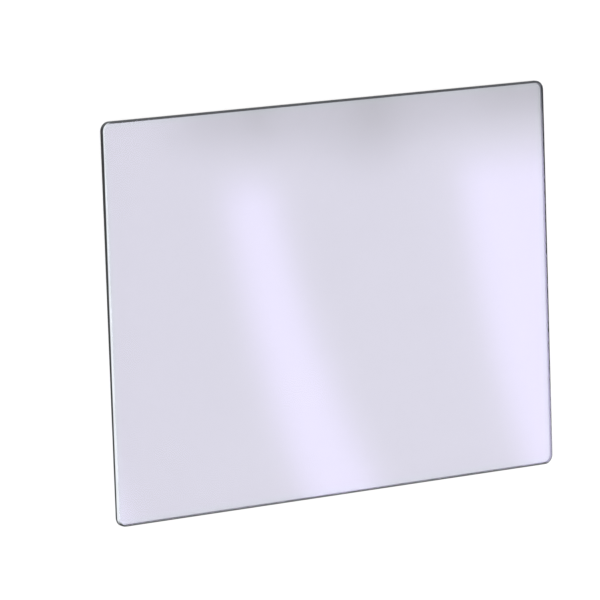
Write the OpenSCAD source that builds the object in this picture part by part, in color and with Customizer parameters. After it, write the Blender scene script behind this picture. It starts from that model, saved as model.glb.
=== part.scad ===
// Glass insert of a negative carrier: one flat pane with ground edges, rounded
// corners, and the arrises broken all the way round on both faces.
//
// Frame: +X along the long side, +Y along the short side, +Z up through the
// thickness. The pane lies flat. The origin is at the middle of its lower face.
// All sizes are in millimetres.

/* [Pane] */
// Width of the pane along X, its long side: 4 x 5 in film and a margin to rest on
pane_w = 165; // [80:1:220]
// Depth of the pane along Y, its short side
pane_d = 127; // [60:1:180]
// Thickness of the glass along Z
pane_t = 2; // [1.8:0.1:6]

/* [Edges] */
// Radius of the four corners, seen from above
corner_r = 3; // [1.5:0.1:12]
// Leg of the 45 degree arris ground along both faces
arris = 0.4; // [0.1:0.05:0.8]

/* [Hidden] */
$fn = 96;
glass_tint = [0.86, 0.85, 0.91, 0.45];
half_w = pane_w / 2;
half_d = pane_d / 2;
// Centres of the corner arcs, from the middle of the pane
arc_x = half_w - corner_r;
arc_y = half_d - corner_r;

// Outline of one ground edge that lies a distance out from the middle: the
// lower arris, the flat edge face and the upper arris. Each point is
// [distance out, height above the lower face].
function ground_edge(out) = [
    [out - arris, 0],
    [out, arris],
    [out, pane_t - arris],
    [out - arris, pane_t]
];

// A slab with a ground edge on two opposite sides, at X = -out and X = out,
// and cut square across at both ends, length long along Y
module slab(out, long) {
    edge = ground_edge(out);
    rotate([90, 0, 0])
        translate([0, 0, -long / 2])
            linear_extrude(height = long)
                polygon(concat(edge, [for (i = [3:-1:0]) [-edge[i][0], edge[i][1]]]));
}

// A rounded corner, as a whole disc with the same ground edge, its axis along Z
module corner_disc() {
    rotate_extrude()
        polygon(concat([[0, 0]], ground_edge(corner_r), [[0, pane_t]]));
}

module glass_pane() {
    color(glass_tint)
        union() {
            // left and right edges, between the corners
            slab(half_w, 2 * arc_y);
            // near and far edges, between the corners
            rotate([0, 0, 90]) slab(half_d, 2 * arc_x);
            for (x = [-arc_x, arc_x], y = [-arc_y, arc_y])
                translate([x, y, 0]) corner_disc();
        }
}

glass_pane();
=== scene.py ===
"""Looks of the negative carrier glass: one ground and arrised pane, lying on a pale floor, in soft studio light."""

import math

import bpy
import numpy as np
from mathutils import Matrix, Vector

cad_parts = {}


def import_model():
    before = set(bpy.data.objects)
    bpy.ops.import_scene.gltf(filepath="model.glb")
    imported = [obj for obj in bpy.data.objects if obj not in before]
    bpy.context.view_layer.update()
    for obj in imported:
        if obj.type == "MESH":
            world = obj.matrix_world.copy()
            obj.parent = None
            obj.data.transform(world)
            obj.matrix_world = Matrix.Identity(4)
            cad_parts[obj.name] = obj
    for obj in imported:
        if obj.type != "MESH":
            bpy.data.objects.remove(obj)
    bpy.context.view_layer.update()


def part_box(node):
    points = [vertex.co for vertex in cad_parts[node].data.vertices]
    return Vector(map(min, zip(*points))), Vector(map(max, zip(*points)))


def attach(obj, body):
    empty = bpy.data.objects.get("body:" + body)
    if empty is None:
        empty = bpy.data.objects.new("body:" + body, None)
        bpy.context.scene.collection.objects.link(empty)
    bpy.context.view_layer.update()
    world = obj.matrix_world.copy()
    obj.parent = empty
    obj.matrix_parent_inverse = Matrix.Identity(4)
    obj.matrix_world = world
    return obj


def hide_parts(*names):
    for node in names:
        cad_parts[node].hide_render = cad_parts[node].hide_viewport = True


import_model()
lo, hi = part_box("glass_pane")

W, D, T = hi.x - lo.x, hi.y - lo.y, hi.z - lo.z
MID = (lo + hi) / 2
CORNER_R = 0.003  # as in part.scad
ARRIS = 0.0004  # as in part.scad
BLEND = 0.00008  # radius that grinding leaves where two flats of the edge meet
FRINGE = 0.00015  # width of the scuffed strip that grinding leaves on the face, beside the arris


# ---------------------------------------------------------------- small helpers
def smooth(x, a, b):
    """0 at a and before, 1 at b and after, eased between."""
    t = np.clip((np.asarray(x, float) - a) / (b - a), 0, 1)
    return t * t * (3 - 2 * t)


def ripple(s, length, waves, seed):
    """A periodic, seeded wobble along a closed line: about -1 to 1, with this many waves at most."""
    rng = np.random.default_rng(seed)
    out = np.zeros_like(s)
    for k in range(3, waves):
        out += rng.normal() / k**0.5 * np.sin(2 * np.pi * k * s / length + rng.uniform(0, 2 * np.pi))
    return out / np.abs(out).max()


def principled(mat):
    return next(n for n in mat.node_tree.nodes if n.type == "BSDF_PRINCIPLED")


def node(mat, kind, **inputs):
    n = mat.node_tree.nodes.new(kind)
    for k, v in inputs.items():
        n.inputs[k].default_value = v
    return n


def math_node(mat, operation, *values):
    """A Math node on these numbers or sockets; returns its output."""
    n = mat.node_tree.nodes.new("ShaderNodeMath")
    n.operation = operation
    for i, v in enumerate(values):
        if isinstance(v, (int, float)):
            n.inputs[i].default_value = v
        else:
            mat.node_tree.links.new(v, n.inputs[i])
    return n.outputs[0]


# ---------------------------------------------------------------- the pane's mesh
NX, NY, NC = 106, 80, 16  # cells along the long and short sides, and round each corner


def outline():
    """Points round the pane, counter-clockwise from above: the foot (x, y) of the edge on the line through the corner arcs' centres, its outward normal, and the place s along the edge."""
    ax, ay = W / 2 - CORNER_R, D / 2 - CORNER_R
    rows = []

    def side(p, q, n, cells):
        for i in range(cells):
            t = i / cells
            rows.append((p[0] + (q[0] - p[0]) * t, p[1] + (q[1] - p[1]) * t, n[0], n[1]))

    def corner(c, start):
        for i in range(NC):
            a = math.radians(start + 90 * i / NC)
            rows.append((c[0], c[1], math.cos(a), math.sin(a)))

    side((-ax, -ay), (ax, -ay), (0, -1), NX)
    corner((ax, -ay), -90)
    side((ax, -ay), (ax, ay), (1, 0), NY)
    corner((ax, ay), 0)
    side((ax, ay), (-ax, ay), (0, 1), NX)
    corner((-ax, ay), 90)
    side((-ax, ay), (-ax, -ay), (-1, 0), NY)
    corner((-ax, -ay), 180)
    r = np.array(rows)
    edge = r[:, :2] + r[:, 2:] * CORNER_R
    step = np.linalg.norm(np.roll(edge, -1, 0) - edge, axis=1)
    return r, np.concatenate([[0], np.cumsum(step)[:-1]]), step.sum()


def half_profile():
    """One half of the section, from the middle of the edge face to the flat face: rows of (inset, depth below the flat face, outward part of the normal, part along the face's normal, how far the arris wobble moves the row inwards, and how far it moves it down the edge face). The last two rows lie on the flat face: the end of the scuffed fringe, and a row on the polished part."""
    cut = BLEND * math.tan(math.radians(22.5))
    rows = [(0.0, T / 2, 1.0, 0.0, 0.0, 0.0), (0.0, T * 0.34, 1.0, 0.0, 0.0, 0.0)]
    for i in range(5):  # edge face to arris, on a circle tangent to both
        a = math.radians(45 * i / 4)
        rows.append((BLEND - BLEND * math.cos(a), ARRIS + cut - BLEND * math.sin(a), math.cos(a), math.sin(a), 0.0, 1.0))
    for i in range(5):  # arris to flat face
        a = math.radians(45 + 45 * i / 4)
        rows.append((ARRIS + cut - BLEND * math.cos(a), BLEND - BLEND * math.sin(a), math.cos(a), math.sin(a), 1.0, 0.0))
    rows.append((ARRIS + cut + FRINGE, 0.0, 0.0, 1.0, 0.6, 0.0))
    rows.append((0.0017, 0.0, 0.0, 1.0, 0.0, 0.0))
    return rows


def build_pane():
    ring, s, length = outline()
    n = len(ring)
    foot, out = ring[:, :2], ring[:, 2:]
    verts, normals, faces, mats, uvs = [], [], [], [], []
    profile = half_profile()
    flats = 1  # strips of the profile that belong to the polished face
    # the fringe is wider along the far side, and along the right side towards its far end
    wider = 0.00016 * np.clip(out[:, 0], 0, 1) * smooth(foot[:, 1], -D * 0.45, D * 0.25) + 0.00008 * np.clip(out[:, 1], 0, 1)
    for face, seed in ((1, 11), (-1, 23)):  # the upper face, then the lower one
        # the arris is ground by hand, so its width wanders by a few hundredths
        wobble = 0.000022 * ripple(s, length, 46, seed) + 0.000012 * ripple(s, length, 150, seed + 1)
        base = len(verts)
        run = 0.0
        before = profile[0]
        for place, row in enumerate(profile):
            inset, depth, no, nf, inwards, down = row
            run += math.hypot(inset - before[0], depth - before[1])
            before = row
            reach = CORNER_R - inset - wobble * inwards
            if place == len(profile) - 2:
                reach = reach - wider
            x = foot[:, 0] + out[:, 0] * reach
            y = foot[:, 1] + out[:, 1] * reach
            z = face * (T / 2 - depth - wobble * down)
            verts += list(zip(x, y, z))
            normals += [(o[0] * no, o[1] * no, face * nf) for o in out]
            uvs += [(v, face * run) for v in s]
        rows = len(profile)
        for j in range(rows - 1):
            for i in range(n):
                k = (i + 1) % n
                a, b = base + j * n + i, base + j * n + k
                c, d = base + (j + 1) * n + k, base + (j + 1) * n + i
                faces.append((a, b, c, d) if face > 0 else (d, c, b, a))
                mats.append(0 if j >= rows - 1 - flats else 1)
        # the flat face inside the corner arcs' centres: a plain grid
        ax, ay = W / 2 - CORNER_R, D / 2 - CORNER_R
        grid = len(verts)
        for gy in range(NY + 1):
            for gx in range(NX + 1):
                x, y = -ax + 2 * ax * gx / NX, -ay + 2 * ay * gy / NY
                verts.append((x, y, face * T / 2))
                normals.append((0, 0, face))
                uvs.append((x, y))

        def at(gx, gy):
            return grid + gy * (NX + 1) + gx

        for gy in range(NY):
            for gx in range(NX):
                q = (at(gx, gy), at(gx + 1, gy), at(gx + 1, gy + 1), at(gx, gy + 1))
                faces.append(q if face > 0 else q[::-1])
                mats.append(0)
        # which grid point each point of the last ring joins
        joins = (
            [at(i, 0) for i in range(NX)]
            + [at(NX, 0)] * NC
            + [at(NX, i) for i in range(NY)]
            + [at(NX, NY)] * NC
            + [at(NX - i, NY) for i in range(NX)]
            + [at(0, NY)] * NC
            + [at(0, NY - i) for i in range(NY)]
            + [at(0, 0)] * NC
        )
        last = base + (rows - 1) * n
        for i in range(n):
            k = (i + 1) % n
            a, b, c, d = last + i, last + k, joins[k], joins[i]
            f = (a, b, c) if c == d else (a, b, c, d)
            faces.append(f if face > 0 else f[::-1])
            mats.append(0)
    verts = np.array(verts)
    verts[:, 0] += MID.x
    verts[:, 1] += MID.y
    verts[:, 2] += MID.z
    # the two halves meet at the middle of the edge face
    half = len(verts) // 2
    seam = {half + i: i for i in range(n)}
    keep = [i for i in range(len(verts)) if i not in seam]
    new = {old: i for i, old in enumerate(keep)}
    for a, b in seam.items():
        new[a] = new[b]
    mesh = bpy.data.meshes.new("pane")
    mesh.from_pydata([tuple(verts[i]) for i in keep], [], [[new[v] for v in f] for f in faces])
    mesh.polygons.foreach_set("material_index", mats)
    mesh.polygons.foreach_set("use_smooth", [True] * len(faces))
    layer = mesh.uv_layers.new(name="metres")
    corner = 0
    for f in faces:
        us = [uvs[v][0] for v in f]
        wrap = max(us) - min(us) > length / 2  # the strip that closes the ring
        for v in f:
            u, w = uvs[v]
            layer.data[corner].uv = (u + length if wrap and u < length / 2 else u, w)
            corner += 1
    mesh.validate()
    mesh.normals_split_custom_set_from_vertices([tuple(Vector(normals[i]).normalized()) for i in keep])
    return mesh


# ---------------------------------------------------------------- materials
def face_glass():
    """The two flat faces: polished glass in a cool lavender grey, a little greener along the border, with the faint uneven satin that wiping leaves."""
    mat = bpy.data.materials.new("pane_glass_face")
    mat.use_nodes = True
    p = principled(mat)
    p.inputs["Transmission Weight"].default_value = 1.0
    p.inputs["IOR"].default_value = 1.52
    coords = node(mat, "ShaderNodeTexCoord")
    split = node(mat, "ShaderNodeSeparateXYZ")
    mat.node_tree.links.new(coords.outputs["Object"], split.inputs[0])
    from_side = math_node(mat, "SUBTRACT", W / 2, math_node(mat, "ABSOLUTE", split.outputs["X"]))
    from_long = math_node(mat, "SUBTRACT", D / 2, math_node(mat, "ABSOLUTE", split.outputs["Y"]))
    border = node(mat, "ShaderNodeMapRange", **{"From Min": 0.0034, "From Max": 0.0006, "To Min": 0.0, "To Max": 0.45})
    border.interpolation_type = "SMOOTHSTEP"
    mat.node_tree.links.new(math_node(mat, "MINIMUM", from_side, from_long), border.inputs["Value"])
    tint = node(mat, "ShaderNodeMix")
    tint.data_type = "RGBA"
    tint.inputs["A"].default_value = (0.627, 0.619, 0.679, 1)
    tint.inputs["B"].default_value = (0.619, 0.667, 0.682, 1)
    mat.node_tree.links.new(border.outputs["Result"], tint.inputs["Factor"])
    mat.node_tree.links.new(tint.outputs["Result"], p.inputs["Base Color"])
    wipe = node(mat, "ShaderNodeTexNoise", Scale=38.0, Detail=3.0, Roughness=0.55)
    stretch = node(mat, "ShaderNodeMapping")
    stretch.inputs["Scale"].default_value = (1.0, 0.35, 1.0)
    stretch.inputs["Rotation"].default_value = (0.0, 0.0, math.radians(24))
    rough = node(mat, "ShaderNodeMapRange", **{"From Min": 0.3, "From Max": 0.7, "To Min": 0.02, "To Max": 0.06})
    links = mat.node_tree.links
    links.new(coords.outputs["Object"], stretch.inputs["Vector"])
    links.new(stretch.outputs["Vector"], wipe.inputs["Vector"])
    links.new(wipe.outputs["Fac"], rough.inputs["Value"])
    links.new(rough.outputs["Result"], p.inputs["Roughness"])
    return mat


def ground_glass():
    """The ground edge, both arrises and the scuffed fringe beside them: a dark satin with fine marks along the edge.
    Its grey holds painted light: the arrises and the fringe beside them are painted paler in places as a painted
    highlight, and the edge face is painted lighter towards the near end, along the far side and towards the near end of
    the right side.
    """
    mat = bpy.data.materials.new("pane_glass_edge")
    mat.use_nodes = True
    p = principled(mat)
    p.inputs["Transmission Weight"].default_value = 0.06
    p.inputs["IOR"].default_value = 1.52
    p.inputs["Specular IOR Level"].default_value = 0.12
    uv = node(mat, "ShaderNodeUVMap")
    uv.uv_map = "metres"
    links = mat.node_tree.links
    # fine grinding marks, drawn out along the edge
    long_way = node(mat, "ShaderNodeMapping")
    long_way.inputs["Scale"].default_value = (420.0, 9000.0, 1.0)
    marks = node(mat, "ShaderNodeTexNoise", Scale=1.0, Detail=4.0, Roughness=0.6)
    bump = node(mat, "ShaderNodeBump", Strength=0.25, Distance=0.00002)
    links.new(uv.outputs["UV"], long_way.inputs["Vector"])
    links.new(long_way.outputs["Vector"], marks.inputs["Vector"])
    links.new(marks.outputs["Fac"], bump.inputs["Height"])
    links.new(bump.outputs["Normal"], p.inputs["Normal"])
    # slow changes of tone, from uneven pressure on the wheel
    slow = node(mat, "ShaderNodeMapping")
    slow.inputs["Scale"].default_value = (60.0, 900.0, 1.0)
    tone = node(mat, "ShaderNodeTexNoise", Scale=1.0, Detail=3.0, Roughness=0.5)
    links.new(uv.outputs["UV"], slow.inputs["Vector"])
    links.new(slow.outputs["Vector"], tone.inputs["Vector"])
    # the edge face is dark; the arris and the fringe are painted paler in places, a painted highlight where they would
    # catch the light
    coords = node(mat, "ShaderNodeTexCoord")
    split = node(mat, "ShaderNodeSeparateXYZ")
    links.new(coords.outputs["Object"], split.inputs[0])
    uv_split = node(mat, "ShaderNodeSeparateXYZ")
    links.new(uv.outputs["UV"], uv_split.inputs[0])

    def ramp(value, low, high, to_low=0.0, to_high=1.0):
        r = node(mat, "ShaderNodeMapRange", **{"From Min": low, "From Max": high, "To Min": to_low, "To Max": to_high})
        links.new(value, r.inputs["Value"])
        return r.outputs["Result"]

    x, y, from_middle = split.outputs["X"], split.outputs["Y"], uv_split.outputs["Y"]
    near = ramp(y, D * 0.40, -D * 0.47)  # 0 at the far end, 1 at the near end
    left = ramp(x, -W / 2 + 0.0030, -W / 2 + 0.0012)
    right = ramp(x, W / 2 - 0.0030, W / 2 - 0.0012)
    lip = ramp(y, -D / 2 + 0.0024, -D / 2 + 0.0010)
    brow = ramp(y, D / 2 - 0.0024, D / 2 - 0.0010)
    # left side: the painted highlight creeps outwards over both arrises, towards the near end
    begins = math_node(mat, "MULTIPLY_ADD", near, -0.00045, T / 2 - ARRIS + 0.00027)
    past = math_node(mat, "SUBTRACT", math_node(mat, "ABSOLUTE", from_middle), begins)
    share = math_node(mat, "MULTIPLY", ramp(past, -0.00006, 0.00010), left)
    # right side: a painted highlight on only the inner part of the lower arris and its fringe
    right_lower_glint = math_node(mat, "MULTIPLY", ramp(from_middle, -(T / 2 - ARRIS + 0.00030), -(T / 2 - ARRIS + 0.00048)), right)
    share = math_node(mat, "MAXIMUM", share, right_lower_glint)
    # the long near side: a little painted highlight, on the fringe strips
    near_fringe_glint = math_node(mat, "MULTIPLY", ramp(math_node(mat, "ABSOLUTE", from_middle), T / 2 - ARRIS + 0.00048, T / 2 - ARRIS + 0.00060), 0.25)
    keep = math_node(mat, "SUBTRACT", 1.0, lip)
    share = math_node(mat, "MULTIPLY_ADD", share, keep, math_node(mat, "MULTIPLY", near_fringe_glint, lip))
    # painted light: the edge face's grey is lighter towards the near end, along the far side, and towards the near end
    # of the right side
    dark = math_node(mat, "MULTIPLY_ADD", near, 0.016, 0.016)
    dark = math_node(mat, "MULTIPLY_ADD", brow, 0.046, dark)
    dark = math_node(mat, "MULTIPLY_ADD", math_node(mat, "MULTIPLY", right, ramp(y, -D * 0.15, -D * 0.50)), 0.15, dark)
    speckle = math_node(mat, "MULTIPLY_ADD", tone.outputs["Fac"], 0.5, 0.75)
    # the painted highlight share lifts the grey towards 0.68
    mixed = math_node(mat, "MULTIPLY_ADD", math_node(mat, "SUBTRACT", 0.68, dark), share, dark)
    grey = math_node(mat, "MULTIPLY", mixed, speckle)
    colour = node(mat, "ShaderNodeCombineColor")
    for socket, share in (("Red", 0.95), ("Green", 1.0), ("Blue", 1.05)):
        links.new(math_node(mat, "MULTIPLY", grey, share), colour.inputs[socket])
    links.new(colour.outputs["Color"], p.inputs["Base Color"])
    rough = node(mat, "ShaderNodeMapRange", **{"From Min": 0.3, "From Max": 0.7, "To Min": 0.34, "To Max": 0.50})
    links.new(marks.outputs["Fac"], rough.inputs["Value"])
    links.new(rough.outputs["Result"], p.inputs["Roughness"])
    return mat


# ---------------------------------------------------------------- the studio
CAMERA_AT = Vector((-0.75654, 0.20961, 1.21687))
ACROSS, ALONG, ROLL = math.radians(-31.4527), math.radians(8.3307), math.radians(1.9195)


def floor():
    """A plain white light table, a hair below the pane so that the two surfaces don't coincide. Part of its brightness is its own, which keeps the contact shadow faint."""
    size, low = 14.0, -0.00015
    mesh = bpy.data.meshes.new("floor")
    mesh.from_pydata([(-size, -size, low), (size, -size, low), (size, size, low), (-size, size, low)], [], [(0, 1, 2, 3)])
    ob = bpy.data.objects.new("floor", mesh)
    bpy.context.scene.collection.objects.link(ob)
    mat = bpy.data.materials.new("floor_white")
    mat.use_nodes = True
    p = principled(mat)
    p.inputs["Base Color"].default_value = (0.36, 0.36, 0.36, 1)
    p.inputs["Roughness"].default_value = 0.9
    p.inputs["Specular IOR Level"].default_value = 0.0
    p.inputs["Emission Color"].default_value = (1, 1, 1, 1)
    p.inputs["Emission Strength"].default_value = 0.68
    mesh.materials.append(mat)
    ob.visible_glossy = False  # mirror-like surfaces see the panel and the room instead
    return ob


ROOM_HIGH = (4.05, 3.90, 4.90)
STREAK = (3.1, 2.65, 4.7)


def bump_at(x, middle, width):
    return np.exp(-(((x - middle) / width) ** 2))


def glow(u, v):
    """What the soft panel shows, by where on the pane the camera sees it mirrored: u from left to right and v from the far edge to the near one, both in shares of the pane's width. Two raked softboxes, a step apart, and a dim valance with three darker folds along the top."""
    boxes = np.zeros_like(u)
    for k in range(-3, 4):
        # each box leans and opens out towards the near edge
        left = 0.250 + 0.05 * v + 0.23 * v**2 + 0.56 * k - (0.035 * v + 0.018 if k == 1 else 0.0)
        right = 0.345 + 0.09 * v + 0.28 * v**2 + 0.56 * k + (0.45 if k == 1 else 0.0)
        core = smooth(u, left - 0.05, left + 0.05) * (1 - smooth(u, right - 0.05, right + 0.05))
        wide = 0.10 if k == 1 else 0.05
        spill = smooth(u, left - wide - 0.05, left + 0.03) * (1 - smooth(u, right - 0.03, right + 0.10))
        boxes = np.maximum(boxes, 0.82 * core + 0.18 * spill)
    boxes = boxes * smooth(v, 0.090, 0.200)
    deep = 0.68 * smooth(u, 0.05, 0.27) + 0.20 * bump_at(u, 0.34, 0.035) + 0.34 * bump_at(u, 0.60, 0.065) + 0.26 * smooth(u, 0.80, 0.90)
    hem = 0.122 + 0.070 * bump_at(u, 0.58, 0.14)
    valance = np.clip(deep, 0, 1) * (1 - smooth(v, 0.008, hem))
    level = 1 - valance
    fade = smooth(np.maximum(np.abs(u - 0.5), np.abs(v - 0.385)), 0.75, 1.05)
    base = np.array(ROOM_HIGH)[None, None, :] * level[..., None]
    lit = base + np.array(STREAK)[None, None, :] * boxes[..., None]
    plain = np.array(ROOM_HIGH)[None, None, :] * 0.8
    return lit * (1 - fade[..., None]) + plain * fade[..., None]


def soft_panel():
    """A large light panel that only mirror-like surfaces see. It hangs where the upper face mirrors it to the camera."""
    eye = Vector((CAMERA_AT.x, CAMERA_AT.y, 2 * T - CAMERA_AT.z))
    top = Vector((0, 0, T))
    away = (top - eye).normalized()
    side = Vector((0, 1, 0)).cross(away).normalized()
    rise = away.cross(side)
    centre = top + away * 0.8
    count, half = 380, 0.36
    g = np.linspace(-half, half, count + 1)
    A, B = np.meshgrid(g, g)
    co = np.array(centre) + A[..., None] * np.array(side) + B[..., None] * np.array(rise)
    t = (T - eye.z) / (co[..., 2] - eye.z)
    on_pane = np.array(eye) + (co - np.array(eye)) * t[..., None]
    u = (on_pane[..., 0] + W / 2) / W
    v = (D / 2 - on_pane[..., 1]) / W
    colour = np.concatenate([glow(u, v), np.ones(u.shape + (1,))], -1).reshape(-1, 4)
    n = count + 1
    faces = [(j * n + i, j * n + i + 1, (j + 1) * n + i + 1, (j + 1) * n + i) for j in range(count) for i in range(count)]
    mesh = bpy.data.meshes.new("soft_panel")
    mesh.from_pydata(co.reshape(-1, 3).tolist(), [], faces)
    attribute = mesh.attributes.new("glow", "FLOAT_COLOR", "POINT")
    attribute.data.foreach_set("color", colour.astype(np.float32).ravel())
    ob = bpy.data.objects.new("soft_panel", mesh)
    bpy.context.scene.collection.objects.link(ob)
    mat = bpy.data.materials.new("panel_light")
    mat.use_nodes = True
    nt = mat.node_tree
    nt.nodes.clear()
    out = nt.nodes.new("ShaderNodeOutputMaterial")
    emit = nt.nodes.new("ShaderNodeEmission")
    read = nt.nodes.new("ShaderNodeAttribute")
    read.attribute_name = "glow"
    nt.links.new(read.outputs["Color"], emit.inputs["Color"])
    nt.links.new(emit.outputs["Emission"], out.inputs["Surface"])
    mat.cycles.emission_sampling = "NONE"
    mesh.materials.append(mat)
    ob.visible_camera = False
    ob.visible_diffuse = False
    ob.visible_transmission = False
    ob.visible_volume_scatter = False
    ob.visible_shadow = False
    return ob


def world():
    """White all round for light and for sight, and a dimmer room with tall raked strip lights in mirror-like surfaces."""
    w = bpy.data.worlds.new("studio")
    bpy.context.scene.world = w
    w.use_nodes = True
    nt = w.node_tree
    nt.nodes.clear()

    def add(kind, **inputs):
        n = nt.nodes.new(kind)
        for k, v in inputs.items():
            n.inputs[k].default_value = v
        return n

    out = add("ShaderNodeOutputWorld")
    white = add("ShaderNodeBackground", Color=(1, 1, 1, 1), Strength=1.36)
    coords = add("ShaderNodeTexCoord")
    split = add("ShaderNodeSeparateXYZ")
    nt.links.new(coords.outputs["Generated"], split.inputs[0])
    x, y, z = split.outputs
    turn = math_node(w, "ARCTAN2", y, x)
    raked = math_node(w, "MULTIPLY_ADD", z, 0.35, turn)
    wave = math_node(w, "SINE", math_node(w, "MULTIPLY", raked, 2 * math.pi / math.radians(6.0)))
    strip = add("ShaderNodeMapRange", **{"From Min": 0.15, "From Max": 0.95, "To Min": 0.0, "To Max": 1.0})
    strip.interpolation_type = "SMOOTHSTEP"
    nt.links.new(wave, strip.inputs["Value"])
    # the strips differ: some lit, some nearly out
    slow = math_node(w, "MULTIPLY_ADD", math_node(w, "SINE", math_node(w, "MULTIPLY", raked, 5.0)), 0.35, 0.55)
    lit = math_node(w, "MULTIPLY", strip.outputs["Result"], slow)
    level = add("ShaderNodeValToRGB")
    cr = level.color_ramp
    cr.elements[0].position, cr.elements[0].color = 0.0, (0.85, 0.85, 0.86, 1)
    cr.elements[1].position, cr.elements[1].color = 1.0, (3.3, 3.15, 4.0, 1)
    for at, c in ((0.498, (0.85, 0.85, 0.86)), (0.502, (0.34, 0.34, 0.38)), (0.56, (0.50, 0.50, 0.56)), (0.66, (0.85, 0.84, 0.96)), (0.80, (1.9, 1.82, 2.3))):
        e = cr.elements.new(at)
        e.color = (*c, 1)
    nt.links.new(math_node(w, "MULTIPLY_ADD", z, 0.5, 0.5), level.inputs["Fac"])
    above = math_node(w, "GREATER_THAN", z, 0.0)
    gain = math_node(w, "MULTIPLY_ADD", math_node(w, "MULTIPLY", lit, above), 0.95, 1.0)
    room = add("ShaderNodeBackground")
    nt.links.new(level.outputs["Color"], room.inputs["Color"])
    nt.links.new(gain, room.inputs["Strength"])
    path = add("ShaderNodeLightPath")
    mirrored = math_node(w, "SUBTRACT", path.outputs["Is Glossy Ray"], path.outputs["Is Transmission Ray"])
    nt.nodes[-1].use_clamp = True
    mix = add("ShaderNodeMixShader")
    nt.links.new(mirrored, mix.inputs[0])
    nt.links.new(white.outputs[0], mix.inputs[1])
    nt.links.new(room.outputs[0], mix.inputs[2])
    nt.links.new(mix.outputs[0], out.inputs["Surface"])


def camera():
    """The photographed view: the eye stands 31 degrees off the pane's normal towards its left end and 8 degrees towards its far edge, and the picture's upright is the pane's short side, less 2 degrees of roll."""
    back = Vector((math.sin(ACROSS) * math.cos(ALONG), math.sin(ALONG), math.cos(ACROSS) * math.cos(ALONG)))
    right = Vector((math.cos(ACROSS), 0, -math.sin(ACROSS)))
    up = back.cross(right)
    r2 = right * math.cos(ROLL) - up * math.sin(ROLL)
    u2 = right * math.sin(ROLL) + up * math.cos(ROLL)
    data = bpy.data.cameras.new("camera")
    data.sensor_width = 36.0
    data.lens = 272.167
    data.clip_start, data.clip_end = 0.05, 60
    ob = bpy.data.objects.new("camera", data)
    bpy.context.scene.collection.objects.link(ob)
    m = Matrix((r2, u2, back)).transposed().to_4x4()
    m.translation = CAMERA_AT
    ob.matrix_world = m
    bpy.context.scene.camera = ob
    return ob


# ---------------------------------------------------------------- make it
pane = bpy.data.objects.new("pane", build_pane())
bpy.context.scene.collection.objects.link(pane)
pane.data.materials.append(face_glass())
pane.data.materials.append(ground_glass())
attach(pane, "root")
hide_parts("glass_pane")

floor()
soft_panel()
world()
camera()
bpy.context.scene.view_settings.view_transform = "Standard"
bpy.context.scene.view_settings.look = "None"
